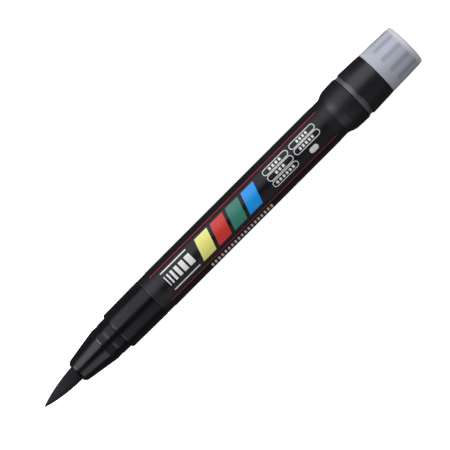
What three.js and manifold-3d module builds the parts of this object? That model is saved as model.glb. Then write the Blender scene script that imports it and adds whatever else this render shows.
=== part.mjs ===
// Valve-fed brush pen, lying along X: pointed tuft at -X, push button at +X, printed side up (+Z).
// Pressing the button slides a long rod forward, which lifts a spring-loaded valve off its seat and
// lets ink run from the barrel to the tuft. Millimetres. Stations (x) run from front to rear.
import * as THREE from "three";
import { mergeVertices } from "three/addons/utils/BufferGeometryUtils.js";
import Module from "manifold-3d";

const wasm = await Module();
wasm.setup();

// ---- driving dimensions ---------------------------------------------------------------------------
const POINT = -0.4; // the tuft's point
const TAIL = 153.3; // the button's rear face
const AXIS_HEIGHT = 7.85; // the collar is the widest ring, and the pen lies on it
const ROUND = 36; // facets round the pen's body
const FINE = 20; // facets round small inner pieces

const NOSE_FRONT = 13.7; // tuft's free length
const GRIP_FRONT = 31.0; // shoulder where the nose enters the grip
const GRIP_REAR = 45.8; // seam between grip and barrel
const LABEL_FRONT = 49.1;
const LABEL_REAR = 119.2;
const BARREL_REAR = 130.5; // sharp rear rim of the flare
const COLLAR_FRONT = 131.8;
const COLLAR_REAR = 140.65;

const BEND_X = 11.2; // where the flexing end of the tuft turns about its root
const TUFT_R = 2.29;
const NOSE_BORE_R = 2.6;
const FERRULE_R = 3.35;
const SPRING_BAY_R = 3.8; // bore of the nose behind the ferrule
const SPIGOT_R = 5.0; // nose and barrel both plug into the grip
const GRIP_BORE_R = 5.05;
const RESERVOIR_R = 5.7;
const BARREL_R = 6.63;
const LABEL_R = 6.73;
const RIM_R = 7.84;
const LIP_R = 6.65; // inward lip that keeps the button in
const BAND_R = 7.5; // ring of the button seen between rim and collar
const COLLAR_R = 7.85;
const ROD_R = 1.0;
const BALL_R = 2.0;
const BALL_DROP = 3.6; // the mixing ball lies on the reservoir's floor, under the rod
const BALL_X = 50.5; // at the front end of its run, where a pen lying down leaves it
const RIB_COUNT = 12;
const RIB_FRONT = 143.9;

// ---- materials ------------------------------------------------------------------------------------
const paint = (color, roughness, metalness = 0) =>
  new THREE.MeshStandardMaterial({ color, roughness, metalness });
const black = paint(0x1b1a1e, 0.32);
const blackSatin = paint(0x202023, 0.5);
const bristle = paint(0x29282c, 0.6);
const film = paint(0x1c1b1f, 0.38);
const smoke = paint(0x9fa2b2, 0.22);
const steel = paint(0xb9bcc2, 0.25, 1);
const rubber = paint(0x171717, 0.8);
const natural = paint(0xd8d6cf, 0.45);
const fibre = paint(0x6d6a70, 0.9);

// ---- helpers --------------------------------------------------------------------------------------
const pen = new THREE.Group();
pen.position.set(-(POINT + TAIL) / 2, 0, AXIS_HEIGHT);

// A turned piece about the pen's axis. Stations run front to rear outside, then rear to front inside.
function turned(profile, segments = ROUND) {
  const points = profile.map(([x, r]) => new THREE.Vector2(r, x));
  const geometry = new THREE.LatheGeometry(points, segments);
  geometry.rotateZ(-Math.PI / 2);
  return geometry;
}

// A hollow turned piece: the same profile, joined back to its first station.
function ring(profile, segments = ROUND) {
  return turned([...profile, profile[0]], segments);
}

function toSolid(geometry) {
  const bare = geometry.clone();
  bare.deleteAttribute("normal");
  bare.deleteAttribute("uv");
  const merged = mergeVertices(bare, 1e-4);
  return new wasm.Manifold(
    new wasm.Mesh({
      numProp: 3,
      vertProperties: merged.attributes.position.array,
      triVerts: new Uint32Array(merged.index.array),
    }),
  );
}

function toGeometry(solid) {
  const mesh = solid.getMesh();
  const geometry = new THREE.BufferGeometry();
  geometry.setAttribute("position", new THREE.BufferAttribute(mesh.vertProperties, 3));
  geometry.setIndex(new THREE.BufferAttribute(mesh.triVerts, 1));
  geometry.computeVertexNormals();
  return geometry;
}

function add(name, geometry, material) {
  const mesh = new THREE.Mesh(geometry, material);
  mesh.name = name;
  pen.add(mesh);
  return mesh;
}

class Coil extends THREE.Curve {
  constructor(from, to, radius, turns) {
    super();
    Object.assign(this, { from, to, radius, turns });
  }
  getPoint(t, target = new THREE.Vector3()) {
    const angle = 2 * Math.PI * this.turns * t;
    const x = this.from + (this.to - this.from) * t;
    return target.set(x, this.radius * Math.cos(angle), this.radius * Math.sin(angle));
  }
}

function coilSpring(from, to, radius, wire, turns) {
  const section = new THREE.Shape();
  for (let i = 0; i < 6; i += 1) {
    const a = (i * Math.PI) / 3;
    const [u, v] = [wire * Math.cos(a), wire * Math.sin(a)];
    if (i === 0) section.moveTo(u, v);
    else section.lineTo(u, v);
  }
  section.closePath();
  return new THREE.ExtrudeGeometry(section, {
    steps: Math.round(turns * 12),
    extrudePath: new Coil(from, to, radius, turns),
    bevelEnabled: false,
  });
}

function oRing(x, radius, section, segments = ROUND) {
  const profile = [];
  for (let i = 0; i < 8; i += 1) {
    const a = Math.PI - (i * Math.PI) / 4;
    profile.push([x + section * Math.cos(a), radius + section * Math.sin(a)]);
  }
  return ring(profile, segments);
}

// ---- tuft and its holder --------------------------------------------------------------------------
function buildTuft() {
  const point = [
    [POINT, 0],
    [-0.1, 0.16],
    [1.3, 0.66],
    [2.7, 1.0],
    [4.3, 1.38],
    [6.0, 1.69],
    [7.8, 1.96],
    [9.4, 2.15],
  ];
  const heel = [];
  for (let i = 0; i < 6; i += 1) {
    const a = (i * Math.PI) / 12;
    heel.push([BEND_X + TUFT_R * Math.sin(a), TUFT_R * Math.cos(a)]);
  }
  heel.push([BEND_X + TUFT_R, 0]);
  add("tuft_tip", turned([...point, ...heel], 28), bristle);

  // The root's front is a shallow cup round the heel, just clear of it through the whole bend.
  const cup = [];
  for (let i = 0; i < 4; i += 1) {
    const a = (i * Math.PI) / 9;
    cup.push([BEND_X + 2.36 * Math.cos(a), 2.36 * Math.sin(a)]);
  }
  const root = [
    ...cup,
    [12.5, 2.4],
    [NOSE_FRONT, 2.46],
    [18.0, 2.5],
    [18.0, 0],
  ];
  add("tuft_root", turned(root, 28), bristle);

  const binding = [
    [18.1, 1.0],
    [18.1, 2.74],
    [20.0, 2.74],
    [20.0, 1.0],
  ];
  add("tuft_binding", ring(binding, 28), natural);

  const ferrule = [
    [17.05, 2.55],
    [17.05, FERRULE_R],
    [24.1, FERRULE_R],
    [24.1, 1.0],
    [20.1, 1.0],
    [20.1, 2.8],
    [18.05, 2.8],
    [18.05, 2.55],
  ];
  add("tuft_ferrule", ring(ferrule, 28), natural);
}

// ---- nose, grip and feed --------------------------------------------------------------------------
function buildNose() {
  const outside = [
    [13.7, NOSE_BORE_R],
    [13.7, 3.0],
    [13.85, 3.35],
    [14.3, 3.72],
    [15.0, 4.0],
    [16.5, 4.26],
    [23.4, 5.36],
    [24.75, 5.53],
    [25.1, 5.4],
    [25.5, 5.66],
    [26.2, 5.72],
    [26.6, 5.6],
    [27.6, 5.6],
    [28.4, 5.78],
    [30.95, 5.78],
    [30.95, SPIGOT_R],
  ];
  const spigot = [
    [34.3, SPIGOT_R],
    [34.3, 4.4],
    [35.1, 4.4],
    [35.1, SPIGOT_R],
    [38.4, SPIGOT_R],
    [38.4, SPRING_BAY_R],
    [24.15, SPRING_BAY_R],
    [24.15, FERRULE_R + 0.05],
    [17.0, FERRULE_R + 0.05],
    [17.0, NOSE_BORE_R],
  ];
  add("nose_cone", ring([...outside, ...spigot]), black);
  add("nose_o_ring", oRing(34.7, 4.72, 0.29), rubber);
}

function buildGrip() {
  const grip = [
    [GRIP_FRONT, GRIP_BORE_R],
    [GRIP_FRONT, 5.95],
    [31.3, 6.4],
    [31.75, 6.5],
    [38.5, 6.6],
    [45.55, 6.68],
    [GRIP_REAR, 6.58],
    [GRIP_REAR, GRIP_BORE_R],
  ];
  add("grip_section", ring(grip), black);
}

function buildFeed() {
  const core = [
    [18.15, 0],
    [18.15, 0.9],
    [32.6, 0.9],
    [33.0, 0.6],
    [33.0, 0],
  ];
  add("feed_core", turned(core, FINE), fibre);

  const holder = [
    [24.2, 1.0],
    [24.2, SPRING_BAY_R - 0.05],
    [25.8, SPRING_BAY_R - 0.05],
    [25.8, 1.7],
    [31.4, 1.5],
    [31.4, 1.0],
  ];
  add("feed_holder", ring(holder, ROUND), natural);
}

// ---- valve ----------------------------------------------------------------------------------------
function buildValve() {
  add("valve_spring", coilSpring(26.15, 34.35, 2.55, 0.2, 5), steel);

  const head = [
    [34.7, 0],
    [34.7, 3.1],
    [35.5, 3.1],
    [36.6, 2.9],
    [38.1, 2.9],
    [38.1, ROD_R + 0.05],
    [36.2, ROD_R + 0.05],
    [36.2, 0],
  ];
  add("valve_head", turned(head, FINE), natural);

  const gasket = [
    [38.13, 1.1],
    [38.13, 2.8],
    [38.6, 2.8],
    [38.6, 1.1],
  ];
  add("valve_gasket", ring(gasket, FINE), rubber);

  const seat = [
    [38.65, 1.6],
    [38.65, 4.95],
    [40.55, 4.95],
    [40.55, 2.4],
    [39.7, 1.6],
  ];
  add("valve_seat", ring(seat), natural);

  const rod = [
    [36.25, 0],
    [36.25, ROD_R],
    [136.6, ROD_R],
    [137.0, 0.7],
    [137.0, 0],
  ];
  add("valve_rod", turned(rod, FINE), steel);
}

// ---- barrel, label and reservoir ------------------------------------------------------------------
function buildBarrel() {
  const outside = [
    [40.65, 4.3],
    [40.65, SPIGOT_R],
    [42.6, SPIGOT_R],
    [42.6, 4.4],
    [43.4, 4.4],
    [43.4, SPIGOT_R],
    [GRIP_REAR + 0.05, SPIGOT_R],
    [GRIP_REAR + 0.05, 6.52],
    [46.05, BARREL_R],
    [122.4, BARREL_R],
    [123.0, 6.87],
    [123.6, 7.19],
    [124.2, 7.41],
    [125.1, 7.6],
    [127.0, 7.75],
    [130.15, RIM_R],
    [BARREL_REAR, 7.64],
  ];
  const inside = [
    [BARREL_REAR, BAND_R + 0.05],
    [128.3, BAND_R + 0.05],
    [128.3, LIP_R],
    [127.4, LIP_R],
    [127.4, 7.0],
    [124.7, 7.0],
    [124.1, 6.3],
    [123.2, RESERVOIR_R],
    [47.6, RESERVOIR_R],
    [46.4, 4.3],
  ];
  add("barrel", ring([...outside, ...inside]), blackSatin);
  add("barrel_o_ring", oRing(43.0, 4.72, 0.29), rubber);

  const label = [
    [LABEL_FRONT, BARREL_R + 0.01],
    [LABEL_FRONT, LABEL_R],
    [LABEL_REAR, LABEL_R],
    [LABEL_REAR, BARREL_R + 0.01],
  ];
  add("label_film", ring(label), film);

  const ball = new THREE.SphereGeometry(BALL_R, 16, 10);
  add("mixing_ball", ball, steel).position.set(BALL_X, 0, -BALL_DROP);
}

function buildBulkhead() {
  const plug = [
    [119.0, 1.1],
    [119.0, 4.6],
    [119.6, RESERVOIR_R - 0.03],
    [123.1, RESERVOIR_R - 0.03],
    [123.1, 2.3],
    [121.4, 2.3],
    [121.4, 1.1],
  ];
  add("tail_bulkhead", ring(plug), natural);
  add("rod_seal", oRing(122.15, 1.66, 0.6, FINE), rubber);

  const washer = [
    [123.15, 1.5],
    [123.15, 4.6],
    [123.55, 4.6],
    [123.55, 1.5],
  ];
  add("spring_washer", ring(washer, ROUND), steel);
}

// ---- push button ----------------------------------------------------------------------------------
// One rib inside the button's clear end: a round-nosed bar along the wall, merging into the end wall.
function rib(angle) {
  const half = 0.65;
  const shape = new THREE.Shape();
  shape.moveTo(152.6, -half);
  shape.lineTo(152.6, half);
  shape.lineTo(RIB_FRONT + half, half);
  shape.absarc(RIB_FRONT + half, 0, half, Math.PI / 2, (3 * Math.PI) / 2, false);
  shape.closePath();
  const bar = new THREE.ExtrudeGeometry(shape, {
    depth: 1.3,
    bevelEnabled: false,
    curveSegments: 3,
  });
  bar.translate(0, 0, 5.3);
  bar.rotateX(angle);
  return toSolid(bar);
}

function buildButton() {
  const outside = [
    [126.4, 5.9],
    [126.4, 6.85],
    [126.6, 6.95],
    [127.35, 6.95],
    [127.35, LIP_R - 0.05],
    [129.95, LIP_R - 0.05],
    [129.95, BAND_R],
    [COLLAR_FRONT, BAND_R],
    [COLLAR_FRONT, 7.0],
    [COLLAR_REAR, 7.0],
    [COLLAR_REAR, 7.54],
    [146.0, 7.41],
    [151.5, 7.25],
    [152.5, 7.05],
    [153.05, 6.68],
    [TAIL, 6.25],
    [TAIL, 0],
  ];
  // Inside: a central boss holds the rod's end and carries the return spring's flange.
  const inside = [
    [137.1, 0],
    [137.1, ROD_R + 0.05],
    [133.0, ROD_R + 0.05],
    [133.0, 4.4],
    [134.0, 4.4],
    [134.0, 2.0],
    [152.1, 2.0],
    [152.1, 6.3],
    [141.0, 6.4],
    [139.8, 5.9],
  ];
  let solid = toSolid(ring([...outside, ...inside]));
  for (let i = 0; i < RIB_COUNT; i += 1) {
    solid = solid.add(rib(((i + 0.63) * 2 * Math.PI) / RIB_COUNT));
  }
  add("push_button", toGeometry(solid), smoke);

  const collar = [
    [COLLAR_FRONT + 0.02, 7.03],
    [COLLAR_FRONT + 0.02, 7.7],
    [132.2, COLLAR_R],
    [139.8, 7.57],
    [140.35, 7.49],
    [COLLAR_REAR - 0.02, 7.25],
    [COLLAR_REAR - 0.02, 7.03],
  ];
  add("button_collar", ring(collar), blackSatin);
  add("return_spring", coilSpring(123.85, 132.7, 3.4, 0.27, 5), steel);
}

buildTuft();
buildNose();
buildGrip();
buildFeed();
buildValve();
buildBarrel();
buildBulkhead();
buildButton();

export default pen;
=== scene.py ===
import math
import random

import bmesh
import bpy
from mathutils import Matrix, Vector


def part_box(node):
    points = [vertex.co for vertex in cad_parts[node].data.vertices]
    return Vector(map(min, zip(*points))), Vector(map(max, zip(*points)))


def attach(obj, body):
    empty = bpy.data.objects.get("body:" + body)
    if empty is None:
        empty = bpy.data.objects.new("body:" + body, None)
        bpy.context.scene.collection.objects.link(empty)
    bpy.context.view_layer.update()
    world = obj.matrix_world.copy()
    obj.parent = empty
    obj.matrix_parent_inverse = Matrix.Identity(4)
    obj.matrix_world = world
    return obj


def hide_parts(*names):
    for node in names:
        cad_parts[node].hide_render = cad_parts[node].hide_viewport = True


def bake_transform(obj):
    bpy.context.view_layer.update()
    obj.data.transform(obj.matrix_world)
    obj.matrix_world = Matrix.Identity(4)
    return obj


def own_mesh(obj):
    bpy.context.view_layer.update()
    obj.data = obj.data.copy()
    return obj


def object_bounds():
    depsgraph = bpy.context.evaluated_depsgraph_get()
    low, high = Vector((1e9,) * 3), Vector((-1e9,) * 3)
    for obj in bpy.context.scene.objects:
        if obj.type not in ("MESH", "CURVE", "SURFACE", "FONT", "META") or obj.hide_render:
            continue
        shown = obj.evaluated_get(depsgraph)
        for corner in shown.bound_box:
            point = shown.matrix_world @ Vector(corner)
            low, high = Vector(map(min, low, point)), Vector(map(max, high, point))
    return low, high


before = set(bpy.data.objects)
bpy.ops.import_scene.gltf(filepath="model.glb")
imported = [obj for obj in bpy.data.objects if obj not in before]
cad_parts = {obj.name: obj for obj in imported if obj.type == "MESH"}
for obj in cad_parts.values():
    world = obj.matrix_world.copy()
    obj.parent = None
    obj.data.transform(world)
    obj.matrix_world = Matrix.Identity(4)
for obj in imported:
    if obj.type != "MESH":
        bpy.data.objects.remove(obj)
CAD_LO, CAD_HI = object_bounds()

MM = 0.001
ROUND = 192                 # facets round the big turned pieces
RIBBED_ROUND = 288          # and round the button, whose inner wall has ribs

# Driving sizes in mm: stations along the pen from its point, and radii about its axis.
NOSE_FRONT = 13.7
GRIP_FRONT, GRIP_REAR = 31.0, 45.8
SPIGOT_R = 5.0              # nose and barrel both plug into the grip
BARREL_R = 6.63
BARREL_REAR = 130.5
COLLAR_FRONT, COLLAR_REAR = 131.8, 140.65
TAIL = 153.3
PRINT_FRONT, PRINT_REAR = 49.2, 119.15
RIB_FRONT, RIB_REAR = 143.9, 151.9    # ribs inside the clear end
RIB_HALF = 0.66
RIB_PITCH = math.radians(30)
RIB_FIRST = math.radians(-19)         # from straight up towards +Y

ORIGIN_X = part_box("grip_section")[0].x - GRIP_FRONT * MM   # world x of station 0
AXIS_Z = (CAD_LO.z + CAD_HI.z) / 2                         # height of the pen's axis


def at(x_mm):
    """World x of a station, in mm from front to rear."""
    return ORIGIN_X + x_mm * MM


def station(node, end):
    """Station in mm of a CAD node's front (0) or rear (1) face."""
    return (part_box(node)[end].x - ORIGIN_X) / MM


def radius(node):
    """Radius in mm of a turned CAD node."""
    lo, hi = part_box(node)
    return (hi.z - lo.z) / 2 / MM


# ---------------------------------------------------------------- mesh helpers
def new_object(name, mesh):
    obj = bpy.data.objects.new(name, mesh)
    bpy.context.scene.collection.objects.link(obj)
    return obj


def fillet(profile, steps=5):
    """Corners (x, r) or (x, r, fillet radius) turned into a fine outline, each rounded by its own radius."""
    out = []
    n = len(profile)
    for i, p in enumerate(profile):
        x, r = p[0], p[1]
        f = p[2] if len(p) > 2 else 0
        if f <= 0:
            out.append((x, r))
            continue
        a = Vector((profile[i - 1][0] - x, profile[i - 1][1] - r))
        b = Vector((profile[(i + 1) % n][0] - x, profile[(i + 1) % n][1] - r))
        la, lb = a.length, b.length
        a, b = a / la, b / lb
        turn = math.acos(max(-1, min(1, a.dot(b))))
        cut = min(f / math.tan(turn / 2), 0.49 * la, 0.49 * lb)
        for k in range(steps + 1):
            t = k / steps
            q = Vector((x, r)) + a * cut * (1 - t) ** 2 + b * cut * t ** 2
            out.append((q.x, q.y))
    return out


SHARP = math.radians(28)    # an edge that turns more than this is shaded sharp


def turned(name, profile, segments=ROUND, shape=None):
    """A turned solid about the pen's axis. shape(x, r, angle) may move a point's radius."""
    rows = fillet(profile)
    bm = bmesh.new()
    grid = []
    for x, r in rows:
        if r <= 1e-9:
            grid.append([bm.verts.new((at(x), 0, AXIS_Z))])
            continue
        ring = []
        for k in range(segments):
            a = 2 * math.pi * k / segments
            rr = shape(x, r, a) if shape else r
            ring.append(bm.verts.new((at(x), rr * MM * math.sin(a), AXIS_Z + rr * MM * math.cos(a))))
        grid.append(ring)
    for a, b in zip(grid, grid[1:] + grid[:1]):
        if len(a) == 1 and len(b) == 1:
            continue
        for i in range(segments):
            i2 = (i + 1) % segments
            if len(a) == 1:
                bm.faces.new((a[0], b[i], b[i2]))
            elif len(b) == 1:
                bm.faces.new((a[i], b[0], a[i2]))
            else:
                bm.faces.new((a[i], b[i], b[i2], a[i2]))
    bmesh.ops.recalc_face_normals(bm, faces=bm.faces)
    for e in bm.edges:
        if len(e.link_faces) == 2 and e.calc_face_angle(0) > SHARP:
            e.smooth = False
    for f in bm.faces:
        f.smooth = True
    mesh = bpy.data.meshes.new(name)
    bm.to_mesh(mesh)
    bm.free()
    return new_object(name, mesh)


def tube_mesh(name, paths, sides):
    """One mesh of many thin closed tubes. Each path is a list of (point, radius)."""
    bm = bmesh.new()
    for path in paths:
        rings = []
        for i, (p, r) in enumerate(path):
            ahead = path[min(i + 1, len(path) - 1)][0] - path[max(i - 1, 0)][0]
            ahead.normalize()
            side = ahead.cross(Vector((0, 0, 1)))
            if side.length < 0.2:
                side = ahead.cross(Vector((0, 1, 0)))
            side.normalize()
            up = side.cross(ahead)
            rings.append([
                bm.verts.new(p + r * (side * math.cos(t) + up * math.sin(t)))
                for t in (2 * math.pi * k / sides for k in range(sides))
            ])
        for a, b in zip(rings, rings[1:]):
            for k in range(sides):
                k2 = (k + 1) % sides
                bm.faces.new((a[k], a[k2], b[k2], b[k]))
        bm.faces.new(rings[0])
        bm.faces.new(rings[-1])
    bmesh.ops.recalc_face_normals(bm, faces=bm.faces)
    for f in bm.faces:
        f.smooth = len(f.verts) == 4
    mesh = bpy.data.meshes.new(name)
    bm.to_mesh(mesh)
    bm.free()
    return new_object(name, mesh)


# ---------------------------------------------------------------- materials
class Mat:
    """A small builder round one Principled material."""

    def __init__(self, name):
        self.mat = bpy.data.materials.new(name)
        self.mat.use_nodes = True
        self.tree = self.mat.node_tree
        self.bsdf = self.tree.nodes["Principled BSDF"]
        coord = self.tree.nodes.new("ShaderNodeTexCoord")
        self.place = coord.outputs["Object"]

    def set(self, **values):
        for key, value in values.items():
            self.bsdf.inputs[key.replace("_", " ")].default_value = value
        return self

    def node(self, kind, **props):
        made = self.tree.nodes.new(kind)
        for key, value in props.items():
            setattr(made, key, value)
        return made

    def link(self, a, b):
        self.tree.links.new(a, b)

    def scaled(self, xyz):
        mapping = self.node("ShaderNodeMapping")
        mapping.inputs["Scale"].default_value = xyz
        self.link(self.place, mapping.inputs["Vector"])
        return mapping.outputs["Vector"]

    def noise(self, scale, detail, rough=0.55, stretch=(1, 1, 1)):
        tex = self.node("ShaderNodeTexNoise")
        tex.inputs["Scale"].default_value = scale
        tex.inputs["Detail"].default_value = detail
        tex.inputs["Roughness"].default_value = rough
        self.link(self.scaled(stretch), tex.inputs["Vector"])
        return tex.outputs["Fac"]

    def remap(self, value, lo, hi, to_lo, to_hi):
        node = self.node("ShaderNodeMapRange")
        node.inputs["From Min"].default_value = lo
        node.inputs["From Max"].default_value = hi
        node.inputs["To Min"].default_value = to_lo
        node.inputs["To Max"].default_value = to_hi
        self.link(value, node.inputs["Value"])
        return node.outputs["Result"]

    def math(self, op, a, b=None):
        node = self.node("ShaderNodeMath", operation=op)
        for socket, v in zip(node.inputs, (a, b)):
            if v is None:
                continue
            if isinstance(v, (int, float)):
                socket.default_value = v
            else:
                self.link(v, socket)
        return node.outputs[0]

    def mix(self, factor, a, b):
        node = self.node("ShaderNodeMix", data_type="RGBA")
        for name, kind, v in (("Factor", "VALUE", factor), ("A", "RGBA", a), ("B", "RGBA", b)):
            socket = next(s for s in node.inputs if s.name == name and s.type == kind)
            if isinstance(v, (int, float)):
                socket.default_value = v
            elif isinstance(v, tuple):
                socket.default_value = (*v, 1)
            else:
                self.link(v, socket)
        return next(s for s in node.outputs if s.type == "RGBA")

    def color(self, socket):
        self.link(socket, self.bsdf.inputs["Base Color"])
        return self

    def roughness(self, socket):
        self.link(socket, self.bsdf.inputs["Roughness"])
        return self

    def bump(self, socket, distance_mm):
        node = self.node("ShaderNodeBump")
        node.inputs["Strength"].default_value = 1.0
        node.inputs["Distance"].default_value = distance_mm * MM
        self.link(socket, node.inputs["Height"])
        if self.bsdf.inputs["Normal"].links:
            self.link(self.bsdf.inputs["Normal"].links[0].from_socket, node.inputs["Normal"])
        self.link(node.outputs["Normal"], self.bsdf.inputs["Normal"])
        return self

    def xyz(self):
        """The three coordinates of the place on the piece."""
        split = self.node("ShaderNodeSeparateXYZ")
        self.link(self.place, split.inputs[0])
        return split.outputs["X"], split.outputs["Y"], split.outputs["Z"]

    def near_station(self, x_mm, width_mm):
        """1 on the ring at station x, falling to 0 over width."""
        x, _, _ = self.xyz()
        away = self.math("ABSOLUTE", self.math("SUBTRACT", x, at(x_mm)))
        return self.remap(away, 0, width_mm * MM, 1, 0)


RUBBED_WIDTH = 0.35         # mm of paler plastic on each side of a rubbed edge


def moulded(name, base, worn, rough, grain_mm, grain_bump, edges=()):
    """Moulded plastic: slow tone drift, fine grain, faint lengthwise handling marks and rubbed edges."""
    m = Mat(name)
    drift = m.noise(90, 3)
    grain = m.noise(1 / (grain_mm * MM), 3, 0.6)
    marks = m.noise(900, 5, 0.7, stretch=(0.06, 1, 1))
    worn_mask = m.remap(drift, 0.55, 0.75, 0, 0.35)
    for x_mm in edges:
        patchy = m.remap(marks, 0.35, 0.6, 0.2, 0.9)
        ring = m.math("MULTIPLY", m.near_station(x_mm, RUBBED_WIDTH), patchy)
        worn_mask = m.math("MAXIMUM", worn_mask, ring)
    m.color(m.mix(worn_mask, base, worn))
    r = m.remap(marks, 0.3, 0.7, rough - 0.035, rough + 0.05)
    m.roughness(m.math("ADD", r, m.remap(drift, 0.35, 0.7, -0.02, 0.03)))
    m.bump(grain, grain_bump)
    m.bump(marks, 0.0015)
    return m


def black_plastic(name, base, worn, rough, grain_mm, grain_bump, gloss, edges):
    """Black plastic, whose reflections have a faint violet cast."""
    m = moulded(name, base, worn, rough, grain_mm, grain_bump, edges)
    return m.set(Specular_IOR_Level=gloss, Specular_Tint=(0.87, 0.86, 1.0, 1.0))


BLACK_GLOSS = black_plastic("black_gloss_plastic", (0.0056, 0.0052, 0.0068), (0.014, 0.0135, 0.016),
                            0.18, 0.16, 0.0015, gloss=0.5, edges=(14.1, 24.8, 31.4, 45.7))
BLACK_SATIN = black_plastic("black_satin_plastic", (0.0047, 0.0043, 0.0056), (0.016, 0.0152, 0.018),
                            0.43, 0.09, 0.006, gloss=0.63, edges=(46.0, 130.2))
COLLAR_BLACK = black_plastic("black_collar_plastic", (0.0034, 0.003, 0.0043), (0.014, 0.0134, 0.0165),
                             0.37, 0.09, 0.005, gloss=1.13, edges=(140.3,))
FILM = black_plastic("black_print_film", (0.007, 0.0066, 0.0083), (0.014, 0.0137, 0.0155),
                     0.29, 0.35, 0.003, gloss=0.56, edges=(49.2, 119.1))
NATURAL = moulded("natural_plastic", (0.62, 0.6, 0.55), (0.5, 0.48, 0.43), 0.42, 0.12, 0.004)
RUBBER = moulded("nitrile_rubber", (0.012, 0.012, 0.012), (0.03, 0.03, 0.03), 0.72, 0.06, 0.006)


def steel_material():
    m = Mat("spring_steel").set(Metallic=1.0)
    draw = m.noise(2500, 4, 0.6, stretch=(0.2, 1, 1))
    m.color(m.mix(m.remap(draw, 0.35, 0.65, 0, 1), (0.52, 0.53, 0.55), (0.68, 0.69, 0.7)))
    m.roughness(m.remap(draw, 0.3, 0.7, 0.18, 0.34))
    return m.bump(draw, 0.001)


def fibre_material():
    m = Mat("ink_fibre")
    weave = m.noise(4000, 3, 0.6, stretch=(0.08, 1, 1))
    m.color(m.mix(m.remap(weave, 0.35, 0.65, 0, 1), (0.012, 0.012, 0.015), (0.05, 0.05, 0.055)))
    m.roughness(m.remap(weave, 0.3, 0.7, 0.7, 0.95))
    return m.bump(weave, 0.02)


def bristle_material():
    """Nylon filaments with lengthwise streaks, and painted shade that darkens them towards the root, near
    the nose.
    """
    m = Mat("nylon_bristle").set(Specular_IOR_Level=0.4, Specular_Tint=(0.88, 0.84, 1.0, 1.0))
    streak = m.noise(5200, 3, 0.6, stretch=(0.03, 1, 1))
    patch = m.noise(500, 2)
    tone = m.mix(m.remap(streak, 0.3, 0.7, 0, 1), (0.0058, 0.0053, 0.0078), (0.024, 0.0225, 0.029))
    tone = m.mix(m.remap(patch, 0.4, 0.65, 0, 0.5), tone, (0.016, 0.015, 0.019))
    x, _, _ = m.xyz()
    # painted shade: darker towards the root, near the nose
    m.color(m.mix(m.remap(x, at(5.5), at(11.0), 0, 0.75), tone, (0.006, 0.0058, 0.0075)))
    m.roughness(m.remap(streak, 0.3, 0.7, 0.34, 0.52))
    return m.bump(streak, 0.006)


def rib_shade_mask(m, x, y, z):
    """1 on the round-nosed bars where ribs back the clear end's wall, with soft edges: where the ribs'
    painted shade goes.
    """
    angle = m.math("ARCTAN2", y, m.math("SUBTRACT", z, AXIS_Z))
    turns = m.math("DIVIDE", m.math("SUBTRACT", angle, RIB_FIRST), RIB_PITCH)
    turn = m.math("FRACT", m.math("ADD", turns, 20.5))
    across = m.math("MULTIPLY", m.math("SUBTRACT", turn, 0.5), RIB_PITCH * 7 * MM)
    ahead = m.math("MAXIMUM", m.math("SUBTRACT", at(RIB_FRONT + RIB_HALF), x), 0)
    squares = m.math("MULTIPLY", across, across), m.math("MULTIPLY", ahead, ahead)
    away = m.math("SQRT", m.math("ADD", *squares))
    bar = m.remap(away, 0.45 * MM, 0.95 * MM, 1, 0)
    return m.math("MULTIPLY", bar, m.remap(x, at(RIB_REAR - 0.6), at(RIB_REAR), 1, 0))


def smoke_material():
    """Frosted smoke-grey moulding. Painted shade: a dark ring in front, where dark parts lie behind the thin
    skirt, and darker bars where the ribs inside shade the wall. Painted light: paler over the rounded end.
    """
    m = Mat("smoke_translucent").set(IOR=1.5, Transmission_Weight=0.25, Subsurface_Weight=0.0)
    drift = m.noise(120, 3)
    grain = m.noise(5200, 3, 0.6)
    x, y, z = m.xyz()
    tone = m.mix(m.remap(drift, 0.35, 0.65, 0, 1), (0.575, 0.604, 0.712), (0.615, 0.646, 0.762))
    # painted shade: darker bars where the ribs inside shade the wall
    tone = m.mix(m.math("MULTIPLY", rib_shade_mask(m, x, y, z), 0.9), tone, (0.42, 0.44, 0.53))
    # painted light: the rounded end is paler, standing in for the light on it
    tone = m.mix(m.remap(x, at(151.2), at(152.3), 0, 0.9), tone, (0.85, 0.845, 0.89))
    # painted shade: darker in front of station 139, for the dark parts behind the thin skirt; the same mask
    # also strengthens its reflections
    front = m.remap(x, at(139.0), at(140.0), 1, 0)
    tone = m.mix(front, tone, (0.103, 0.099, 0.118))
    m.color(tone)
    m.link(m.remap(front, 0, 1, 0.5, 1.5), m.bsdf.inputs["Specular IOR Level"])
    m.roughness(m.remap(drift, 0.3, 0.7, 0.3, 0.38))
    return m.bump(grain, 0.004)


def ink(name, colour):
    """Screen-printed ink: slightly raised, with a soft mottle in its tone and gloss."""
    m = Mat(name)
    mottle = m.noise(2600, 3, 0.6)
    darker = tuple(0.86 * c for c in colour)
    m.color(m.mix(m.remap(mottle, 0.35, 0.65, 0, 1), darker, colour))
    m.roughness(m.remap(mottle, 0.3, 0.7, 0.3, 0.45))
    return m.bump(mottle, 0.002)


STEEL = steel_material()
FIBRE = fibre_material()
BRISTLE = bristle_material()
SMOKE = smoke_material()


def finish_piece(obj, material, body, slot, *nodes):
    """Gives a piece its material and its body, and takes the place of the CAD nodes that it stands for."""
    obj.data.materials.clear()
    obj.data.materials.append(material.mat)
    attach(obj, body)
    if nodes:
        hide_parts(*nodes)
    return obj


# ---------------------------------------------------------------- stage: camera, floor, light
PEN_MIDDLE = Vector((at(76.8), 0, AXIS_Z))
RIGHT = Vector((1, -1, 0)).normalized()   # picture right and up, on the floor
UP = Vector((1, 1, 0)).normalized()
CAMERA_AWAY = 0.88
FRAME_WIDTH = 0.135                       # m that the picture is wide at the pen's axis
OFF_RIGHT, OFF_UP = -0.0002, -0.00031     # m from the pen's middle to the picture's middle


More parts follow.
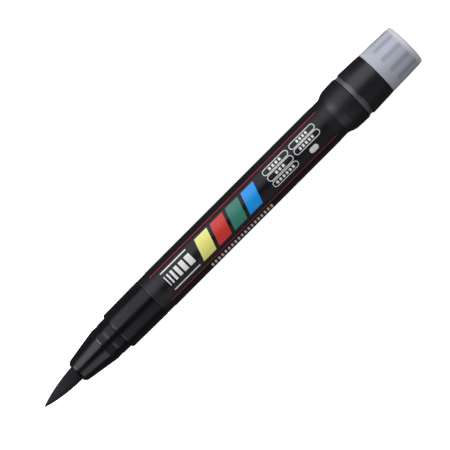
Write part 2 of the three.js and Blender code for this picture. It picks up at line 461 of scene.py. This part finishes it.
def make_camera():
    """Straight above the pen, turned so that its tail points up and right."""
    data = bpy.data.cameras.new("camera")
    data.sensor_width = 36
    data.lens = data.sensor_width * CAMERA_AWAY / FRAME_WIDTH
    data.clip_start, data.clip_end = 0.05, 50
    cam = new_object("camera", data)
    cam.location = PEN_MIDDLE + RIGHT * OFF_RIGHT + UP * OFF_UP + Vector((0, 0, CAMERA_AWAY))
    cam.rotation_euler = (0, 0, math.radians(-45))
    bpy.context.scene.camera = cam
    return cam


def make_floor():
    """White ground that shines on its own, so that it is even all over."""
    bm = bmesh.new()
    bmesh.ops.create_circle(bm, cap_ends=True, segments=96, radius=30)
    mesh = bpy.data.meshes.new("floor")
    bm.to_mesh(mesh)
    bm.free()
    floor = new_object("floor", mesh)
    m = Mat("floor_white").set(Roughness=0.9)
    m.color(m.mix(m.noise(3, 2), (0.9, 0.9, 0.9), (0.92, 0.92, 0.92)))
    m.set(Emission_Color=(1, 1, 1, 1), Emission_Strength=1.0)
    mesh.materials.append(m.mat)
    floor.location.z = CAD_LO.z - 0.0001
    floor.visible_glossy = False
    floor.visible_diffuse = False
    floor.visible_shadow = False
    return floor


def area_light(name, toward, distance, size, strength, shift=0.0, glossy=True, diffuse=True,
               colour=(1, 1, 1)):
    """A softbox on the side that toward points to, slid by shift along X. strength is its radiance."""
    data = bpy.data.lights.new(name, "AREA")
    data.shape = "RECTANGLE"
    data.size, data.size_y = size
    data.energy = strength * math.pi * size[0] * size[1]
    data.color = colour
    light = new_object(name, data)
    direction = Vector(toward).normalized()
    light.location = PEN_MIDDLE + direction * distance + Vector((shift, 0, 0))
    light.rotation_euler = (-direction).to_track_quat("-Z", "Y").to_euler()
    light.visible_camera = False
    light.visible_glossy = glossy
    light.visible_diffuse = diffuse
    return light


def tilted(degrees, side):
    """Direction that many degrees from straight up, towards +Y (side 1) or -Y (side -1)."""
    a = math.radians(degrees)
    return (0, side * math.sin(a), math.cos(a))


WARM = (1.0, 0.92, 0.84)
FAINTLY_WARM = (1.0, 0.95, 0.9)


def make_softboxes():
    """Softboxes for the reflections. Two that overlap stand at two distances, or one hides the other."""
    area_light("key", tilted(42, 1), 1.0, (2.2, 1.25), 0.82)
    area_light("key_front", tilted(37, 1), 0.93, (0.94, 0.83), 1.3, shift=-0.64, diffuse=False)
    area_light("fill", tilted(48, -1), 1.0, (1.22, 1.04), 0.28, shift=-0.55)
    area_light("fill_front", tilted(54, -1), 0.93, (0.94, 0.83), 0.84, shift=-0.64, diffuse=False,
               colour=WARM)
    area_light("accent", (-0.85, 0.46, 0.28), 1.2, (0.55, 0.6), 5.8, diffuse=False)
    area_light("side_left", (0, 1, 0), 2.0, (8, 6), 0.06)
    area_light("side_right", (0, -1, 0), 2.0, (8, 6), 0.06)


def make_bounce():
    """Broad lights that brighten surfaces and leave no reflection."""
    area_light("bounce_left", (0, 1, 0), 2.3, (8, 6), 0.47, glossy=False)
    area_light("bounce_right", (0, -1, 0), 2.3, (8, 6), 0.33, glossy=False, colour=FAINTLY_WARM)
    area_light("top", tilted(38, 1), 2.0, (2.4, 2.4), 1.2, glossy=False)


def make_world():
    """Near-white surroundings that only the camera sees."""
    world = bpy.data.worlds.new("studio")
    world.use_nodes = True
    world.node_tree.nodes["Background"].inputs["Color"].default_value = (0.93, 0.93, 0.94, 1)
    world.node_tree.nodes["Background"].inputs["Strength"].default_value = 1.0
    world.cycles_visibility.glossy = False
    world.cycles_visibility.diffuse = False
    bpy.context.scene.world = world
    bpy.context.scene.view_settings.view_transform = "Standard"


# ---------------------------------------------------------------- tuft
# (station, radius) along the tuft, from its point to its root in the nose
TUFT = ((-0.4, 0.11), (0.0, 0.28), (1.2, 0.68), (2.4, 1.0), (4.2, 1.42), (5.8, 1.72), (7.4, 1.97),
        (9.0, 2.18), (10.5, 2.33), (12.0, 2.44), (13.5, 2.5), (16.0, 2.52), (17.9, 2.52))
TUFT_ROOT = 17.8
TUFT_POINT = -0.45
TUFT_LEAN = 0.42            # how far the point lies to the side
LEAN_FROM = 15.0
CORE_SHARE = 0.93           # the core's part of the tuft's radius
STRANDS = 440
GOLDEN_ANGLE = 2.399963


def tuft_radius(x):
    """The tuft's radius at a station, straight between the points of TUFT."""
    for (x0, r0), (x1, r1) in zip(TUFT, TUFT[1:]):
        if x <= x1:
            return r0 + (r1 - r0) * max(0.0, (x - x0)) / (x1 - x0)
    return TUFT[-1][1]


def tuft_point(x, r, angle):
    """A point of the tuft, which leans a little towards -Y from its root to its point."""
    lean = TUFT_LEAN * max(0.0, (LEAN_FROM - x) / LEAN_FROM) ** 0.9
    return Vector((at(x), (r * math.sin(angle) - lean) * MM, AXIS_Z + r * MM * math.cos(angle)))


def strand_path(rng, i, steps=15):
    """One filament near the tuft's surface, from the root to its own end, thinner near both."""
    angle = i * GOLDEN_ANGLE + rng.uniform(-0.05, 0.05)
    depth = 1.0 - 0.1 * rng.random() ** 1.5
    end = TUFT_POINT if i % 5 == 0 else 9.5 * rng.random() ** 1.25 - 0.4
    drift = rng.uniform(-0.12, 0.12)
    thick = rng.uniform(0.06, 0.085)
    path = []
    for k in range(steps + 1):
        t = k / steps
        x = TUFT_ROOT + (end - TUFT_ROOT) * t
        body = min(1.0, 0.35 + tuft_radius(x) / 2.4)
        taper = body * (1 if t < 0.8 else 1 - 0.7 * (t - 0.8) / 0.2)
        r = max(tuft_radius(x) * depth - thick * taper, 0.01)
        path.append((tuft_point(x, r, angle + drift * t), thick * taper * MM))
    return path


def build_tuft():
    """Filaments over a solid core, which take the place of the CAD tuft's tip and root."""
    rng = random.Random(11)
    core = [(tuft_point(x, 0, 0), r * CORE_SHARE * MM) for x, r in TUFT]
    strands = tube_mesh("tuft_bristles", [strand_path(rng, i) for i in range(STRANDS)], 5)
    body = tube_mesh("tuft_core", [core], 72)
    with bpy.context.temp_override(active_object=strands, selected_editable_objects=[strands, body]):
        bpy.ops.object.join()
    strands.data.materials.clear()
    strands.data.materials.append(BRISTLE.mat)
    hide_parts("tuft_tip", "tuft_root")
    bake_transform(strands)
    return strands


# ---------------------------------------------------------------- nose, grip, barrel, film
def build_nose():
    """Cone with a ring groove and a waisted neck, then the spigot with its ring seal's groove."""
    outline = [
        (NOSE_FRONT, 2.6, 0.12), (NOSE_FRONT, 3.2, 0.3), (14.6, 3.95, 1.0), (16.5, 4.26), (20.0, 4.82),
        (23.4, 5.36), (24.78, 5.58, 0.05), (24.92, 5.49, 0.02), (25.28, 5.7, 0.05), (25.9, 5.69, 0.4),
        (27.3, 5.6, 0.5), (27.55, 5.585, 0.4), (28.35, 5.78, 0.8), (GRIP_FRONT - 0.05, 5.78, 0.05),
        (GRIP_FRONT - 0.05, SPIGOT_R), (34.3, SPIGOT_R, 0.05), (34.3, 4.4), (35.1, 4.4),
        (35.1, SPIGOT_R, 0.05), (38.4, SPIGOT_R, 0.15), (38.4, 3.8), (24.15, 3.8), (24.15, 3.4),
        (17.0, 3.4), (17.0, 2.6),
    ]
    return finish_piece(turned("nose_shell", outline), BLACK_GLOSS, "barrel", "black_gloss", "nose_cone")


def build_grip():
    """Sleeve that widens slowly to the rear, with a bevelled front edge."""
    outline = [
        (GRIP_FRONT, SPIGOT_R + 0.05), (GRIP_FRONT, 5.84, 0.03), (31.3, 6.38, 0.14), (31.75, 6.51, 0.3),
        (38.5, 6.6), (45.62, 6.68, 0.1), (GRIP_REAR, 6.56), (GRIP_REAR, SPIGOT_R + 0.05),
    ]
    return finish_piece(turned("grip_shell", outline), BLACK_GLOSS, "barrel", "black_gloss", "grip_section")


def build_barrel():
    """Tube with a spigot in front, a bell-shaped flare behind and a bore that steps down for the tank."""
    spigot = [
        (40.65, 4.3), (40.65, SPIGOT_R, 0.15), (42.6, SPIGOT_R, 0.05), (42.6, 4.4), (43.4, 4.4),
        (43.4, SPIGOT_R, 0.05), (GRIP_REAR + 0.05, SPIGOT_R),
    ]
    outside = [
        (GRIP_REAR + 0.05, 6.52, 0.03), (46.05, 6.61, 0.1), (48.9, BARREL_R), (119.3, BARREL_R),
        (122.25, BARREL_R, 1.2), (123.0, 6.86, 0.8), (124.15, 7.38, 1.2), (125.2, 7.62, 1.5),
        (127.2, 7.77, 2.0), (130.02, 7.84, 0.1), (130.45, 7.64, 0.06), (BARREL_REAR, 7.55, 0.03),
    ]
    bore = [
        (128.3, 7.55), (128.3, 6.65, 0.05), (127.4, 6.65, 0.05), (127.4, 7.0), (124.7, 7.0),
        (124.1, 6.3), (123.2, 5.7), (47.6, 5.7), (46.4, 4.3),
    ]
    shell = turned("barrel_shell", spigot + outside + bore)
    return finish_piece(shell, BLACK_SATIN, "barrel", "black_satin", "barrel")


FILM_R = radius("label_film")


def build_film():
    """Thin printed sleeve with rolled edges."""
    front, rear = station("label_film", 0), station("label_film", 1)
    outline = [
        (front, FILM_R - 0.085), (front, FILM_R - 0.01, 0.02), (front + 0.1, FILM_R, 0.03),
        (rear - 0.1, FILM_R, 0.03), (rear, FILM_R - 0.01, 0.02), (rear, FILM_R - 0.085),
    ]
    return finish_piece(turned("printed_film", outline), FILM, "barrel", "black_film", "label_film")


# ---------------------------------------------------------------- push button
def ribbed(x, r, angle):
    """The clear end's inner wall carries round-nosed ribs."""
    if not (RIB_FRONT - 0.2 < x < 152.05 and 5.9 < r < 6.45):
        return r
    across = abs(((angle - RIB_FIRST + RIB_PITCH / 2) % RIB_PITCH) - RIB_PITCH / 2) * r
    nose = max(0.0, RIB_FRONT + RIB_HALF - x)
    from_edge = RIB_HALF - math.hypot(across, nose)
    rise = max(0.0, min(1.0, from_edge / 0.14 + 0.5))
    return r - 0.95 * rise * rise * (3 - 2 * rise)


def build_button():
    """Skirt and catch in front, the seat of the collar, the clear end, and inside it ribs and a bore."""
    catch = [(126.4, 5.9), (126.4, 6.85, 0.1), (127.35, 6.95, 0.1), (127.35, 6.6), (129.95, 6.6)]
    seat = [(129.95, 7.5, 0.08), (COLLAR_FRONT, 7.5), (COLLAR_FRONT, 7.0), (COLLAR_REAR, 7.0)]
    clear_end = [
        (COLLAR_REAR, 7.52, 0.1), (146.0, 7.41), (151.6, 7.26, 0.9), (153.05, 7.06, 0.8),
        (TAIL, 6.5, 0.3), (TAIL, 0),
    ]
    rod_socket = [
        (137.1, 0), (137.1, 1.05), (133.0, 1.05), (133.0, 4.4, 0.1), (134.0, 4.4, 0.1), (134.0, 2.0),
        (152.1, 2.0, 0.3), (152.1, 6.3, 0.05),
    ]
    ribbed_wall = [(152.05 - 0.2 * k, 6.3 + 0.1 * k / 41) for k in range(1, 42)]
    mouth = [(141.0, 6.4, 0.3), (139.8, 5.9, 0.3)]
    outline = catch + seat + clear_end + rod_socket + ribbed_wall + mouth
    obj = turned("button_shell", outline, RIBBED_ROUND, shape=ribbed)
    return finish_piece(obj, SMOKE, "push_button", "smoke_clear", "push_button")


def build_collar():
    """Black band that narrows to the rear, where its edge is well rounded."""
    front, rear = COLLAR_FRONT + 0.02, COLLAR_REAR - 0.02
    outline = [
        (front, 7.03), (front, 7.78, 0.1), (132.15, 7.86, 0.12), (132.6, 7.85), (136.0, 7.72),
        (139.8, 7.57), (rear, 7.5, 0.42), (rear, 7.03),
    ]
    band = turned("collar_band", outline)
    return finish_piece(band, COLLAR_BLACK, "push_button", "black_satin", "button_collar")


# ---------------------------------------------------------------- springs
def build_spring(name, node, mean_r, wire_r, turns):
    """A coil that fills its CAD node."""
    front, rear = station(node, 0) + wire_r, station(node, 1) - wire_r
    path = []
    steps = int(turns * 28)
    for i in range(steps + 1):
        t = i / steps
        a = 2 * math.pi * turns * t
        # the end turns lie nearly flat
        s = 0.5 - 0.5 * math.cos(math.pi * t)
        x = front + (rear - front) * (0.35 * s + 0.65 * t)
        y = mean_r * MM * math.sin(a)
        z = AXIS_Z + mean_r * MM * math.cos(a)
        path.append((Vector((at(x), y, z)), wire_r * MM))
    obj = tube_mesh(name, [path], 10)
    finish_piece(obj, STEEL, "barrel", "steel", node)
    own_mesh(obj)
    return obj


# ---------------------------------------------------------------- print on the film
INKS = {
    "white": ink("ink_white", (0.92, 0.92, 0.93)),
    "line_red": ink("ink_line_red", (0.33, 0.03, 0.04)),
    "red": ink("ink_red", (0.74, 0.036, 0.028)),
    "blue": ink("ink_blue", (0.002, 0.36, 1.0)),
    "green": ink("ink_green", (0.04, 0.25, 0.19)),
    "yellow": ink("ink_yellow", (0.98, 0.95, 0.27)),
}
INK_FOOT, INK_TOP = 0.003, 0.022      # mm above the film
CUT_STEP = 0.35                       # mm between the cuts that let a wide shape follow the film's curve


def on_film(x_mm, arc_mm, lift_mm):
    """World point at a station and at an arc length round the film from its top line, + towards -Y."""
    r = FILM_R + lift_mm
    a = arc_mm / FILM_R
    return Vector((at(x_mm), -r * MM * math.sin(a), AXIS_Z + r * MM * math.cos(a)))


def subdivided(outline, longest=0.22):
    """A closed outline with no side longer than that."""
    points = []
    for (x0, y0), (x1, y1) in zip(outline, outline[1:] + outline[:1]):
        n = max(1, int(math.hypot(x1 - x0, y1 - y0) / longest))
        points += [(x0 + (x1 - x0) * k / n, y0 + (y1 - y0) * k / n) for k in range(n)]
    return points


def flat_shape(outlines):
    """A flat mesh within the outlines, cut along the pen every CUT_STEP."""
    bm = bmesh.new()
    edges = []
    for outline in outlines:
        ring = [bm.verts.new((x, y, 0)) for x, y in subdivided(outline)]
        edges += [bm.edges.new((a, b)) for a, b in zip(ring, ring[1:] + ring[:1])]
    bmesh.ops.triangle_fill(bm, edges=edges, use_beauty=True)
    lows = [v.co.y for v in bm.verts]
    y = math.floor(min(lows) / CUT_STEP) * CUT_STEP
    while y < max(lows):
        geom = bm.verts[:] + bm.edges[:] + bm.faces[:]
        bmesh.ops.bisect_plane(bm, geom=geom, plane_co=(0, y, 0), plane_no=(0, 1, 0))
        y += CUT_STEP
    bmesh.ops.recalc_face_normals(bm, faces=bm.faces)
    return bm


def ink_patch(name, colour, outlines):
    """A printed shape: closed outlines in (station, arc) mm, outer first and any hole after it."""
    bm = flat_shape(outlines)
    made = bmesh.ops.extrude_face_region(bm, geom=bm.faces[:])
    for v in bm.verts:
        v.co.z = 0
    for v in made["geom"]:
        if isinstance(v, bmesh.types.BMVert):
            v.co.z = 1
    bmesh.ops.recalc_face_normals(bm, faces=bm.faces)
    for v in bm.verts:
        v.co = on_film(v.co.x, v.co.y, INK_TOP if v.co.z > 0.5 else INK_FOOT)
    for f in bm.faces:
        f.smooth = False
    mesh = bpy.data.meshes.new(name)
    bm.to_mesh(mesh)
    bm.free()
    return finish_piece(new_object(name, mesh), INKS[colour], "barrel", "black_film")


def box(x0, x1, y0, y1):
    """Outline of a rectangle."""
    return [(x0, y0), (x1, y0), (x1, y1), (x0, y1)]


def pill(x0, x1, y0, y1):
    """Outline of a long box with round ends."""
    r = (y1 - y0) / 2
    cy = (y0 + y1) / 2
    half_turn = [math.pi * k / 8 for k in range(9)]
    rear_end = [(x1 - r + r * math.sin(a), cy - r * math.cos(a)) for a in half_turn]
    return rear_end + [(x0 + r - r * math.sin(a), cy + r * math.cos(a)) for a in half_turn]


def arc_of(degrees):
    """Arc length round the film from its top line."""
    return math.radians(degrees) * FILM_R


def print_lines():
    """Two long red lines that frame the print, and two short white rules."""
    half = 0.2
    for i, angle in enumerate((-44, 44)):
        y = arc_of(angle)
        ink_patch(f"frame_line_{i}", "line_red", [box(PRINT_FRONT, PRINT_REAR, y - half, y + half)])
    for i, angle in enumerate((-28, 28)):
        y = arc_of(angle)
        ink_patch(f"rule_{i}", "white", [pill(52.25, 63.0, y - 0.21, y + 0.21)])


def print_bars():
    """Six plain white bars, from a fine line to a broad one, and four slanted colour bars."""
    x = 52.35
    for i, width in enumerate((0.35, 0.6, 0.9, 1.25, 1.65, 2.1)):
        ink_patch(f"width_bar_{i}", "white", [box(x, x + width, -1.9, 1.55)])
        x += width + 0.72
    half, slant = 3.5, 1.2
    for i, colour in enumerate(("yellow", "red", "green", "blue")):
        x = 65.6 + i * 6.5
        bar = [(x + slant, -half), (x + slant + 5.2, -half), (x - slant + 5.2, half), (x - slant, half)]
        ink_patch(f"colour_bar_{i}", colour, [bar])


# (station of the front end, degrees from the top line, start and end of the blocks inside)
LABELS = ((94.9, -21.3, 2.4, 7.8), (94.9, -1.6, 3.1, 7.3), (94.9, 18.4, 1.3, 9.2),
          (106.05, -21.3, 2.8, 7.6), (106.05, -1.6, 2.0, 8.3))
LABEL_LONG, LABEL_HALF, LABEL_LINE = 10.25, 1.08, 0.24
BLOCK_PITCH, BLOCK_HALF = 1.3, 0.45


def print_labels():
    """Outlined labels, each holding a row of plain blocks, and one filled patch."""
    for k, (x0, angle, start, end) in enumerate(LABELS):
        y = arc_of(angle)
        inner = LABEL_HALF - LABEL_LINE
        ink_patch(f"pill_{k}", "white", [
            pill(x0, x0 + LABEL_LONG, y - LABEL_HALF, y + LABEL_HALF),
            pill(x0 + LABEL_LINE, x0 + LABEL_LONG - LABEL_LINE, y - inner, y + inner),
        ])
        count = round((end - start) / BLOCK_PITCH)
        step = (end - start) / count
        for n in range(count):
            x = x0 + start + n * step
            ink_patch(f"block_{k}_{n}", "white", [box(x, x + step * 0.6, y - BLOCK_HALF, y + BLOCK_HALF)])
    y = arc_of(24)
    ink_patch("shade_patch", "white", [pill(109.7, 113.0, y - 0.95, y + 0.95)])


def print_ticks():
    """A row of even ticks low on the side."""
    y = arc_of(61)
    for i in range(19):
        x = 65.2 + i * 1.38
        ink_patch(f"tick_{i}", "white", [box(x, x + 0.72, y - 0.85, y + 0.85)])


# ---------------------------------------------------------------- inner CAD pieces
INNER = {
    "tuft_binding": NATURAL, "tuft_ferrule": NATURAL, "feed_holder": NATURAL, "valve_head": NATURAL,
    "valve_seat": NATURAL, "tail_bulkhead": NATURAL, "nose_o_ring": RUBBER, "barrel_o_ring": RUBBER,
    "rod_seal": RUBBER, "valve_gasket": RUBBER, "valve_rod": STEEL, "mixing_ball": STEEL,
    "spring_washer": STEEL, "feed_core": FIBRE,
}


def dress_inner():
    """Materials for the CAD nodes that are kept as they are."""
    for name, material in INNER.items():
        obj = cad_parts[name]
        if not obj.material_slots:
            obj.data.materials.append(material.mat)
        for slot in obj.material_slots:
            slot.material = material.mat


make_camera()
make_floor()
make_softboxes()
make_bounce()
make_world()
build_tuft()
build_nose()
build_grip()
build_barrel()
build_film()
build_button()
build_collar()
build_spring("return_coil", "return_spring", 3.4, 0.27, 5)
build_spring("valve_coil", "valve_spring", 2.55, 0.2, 5)
print_lines()
print_bars()
print_labels()
print_ticks()
dress_inner()
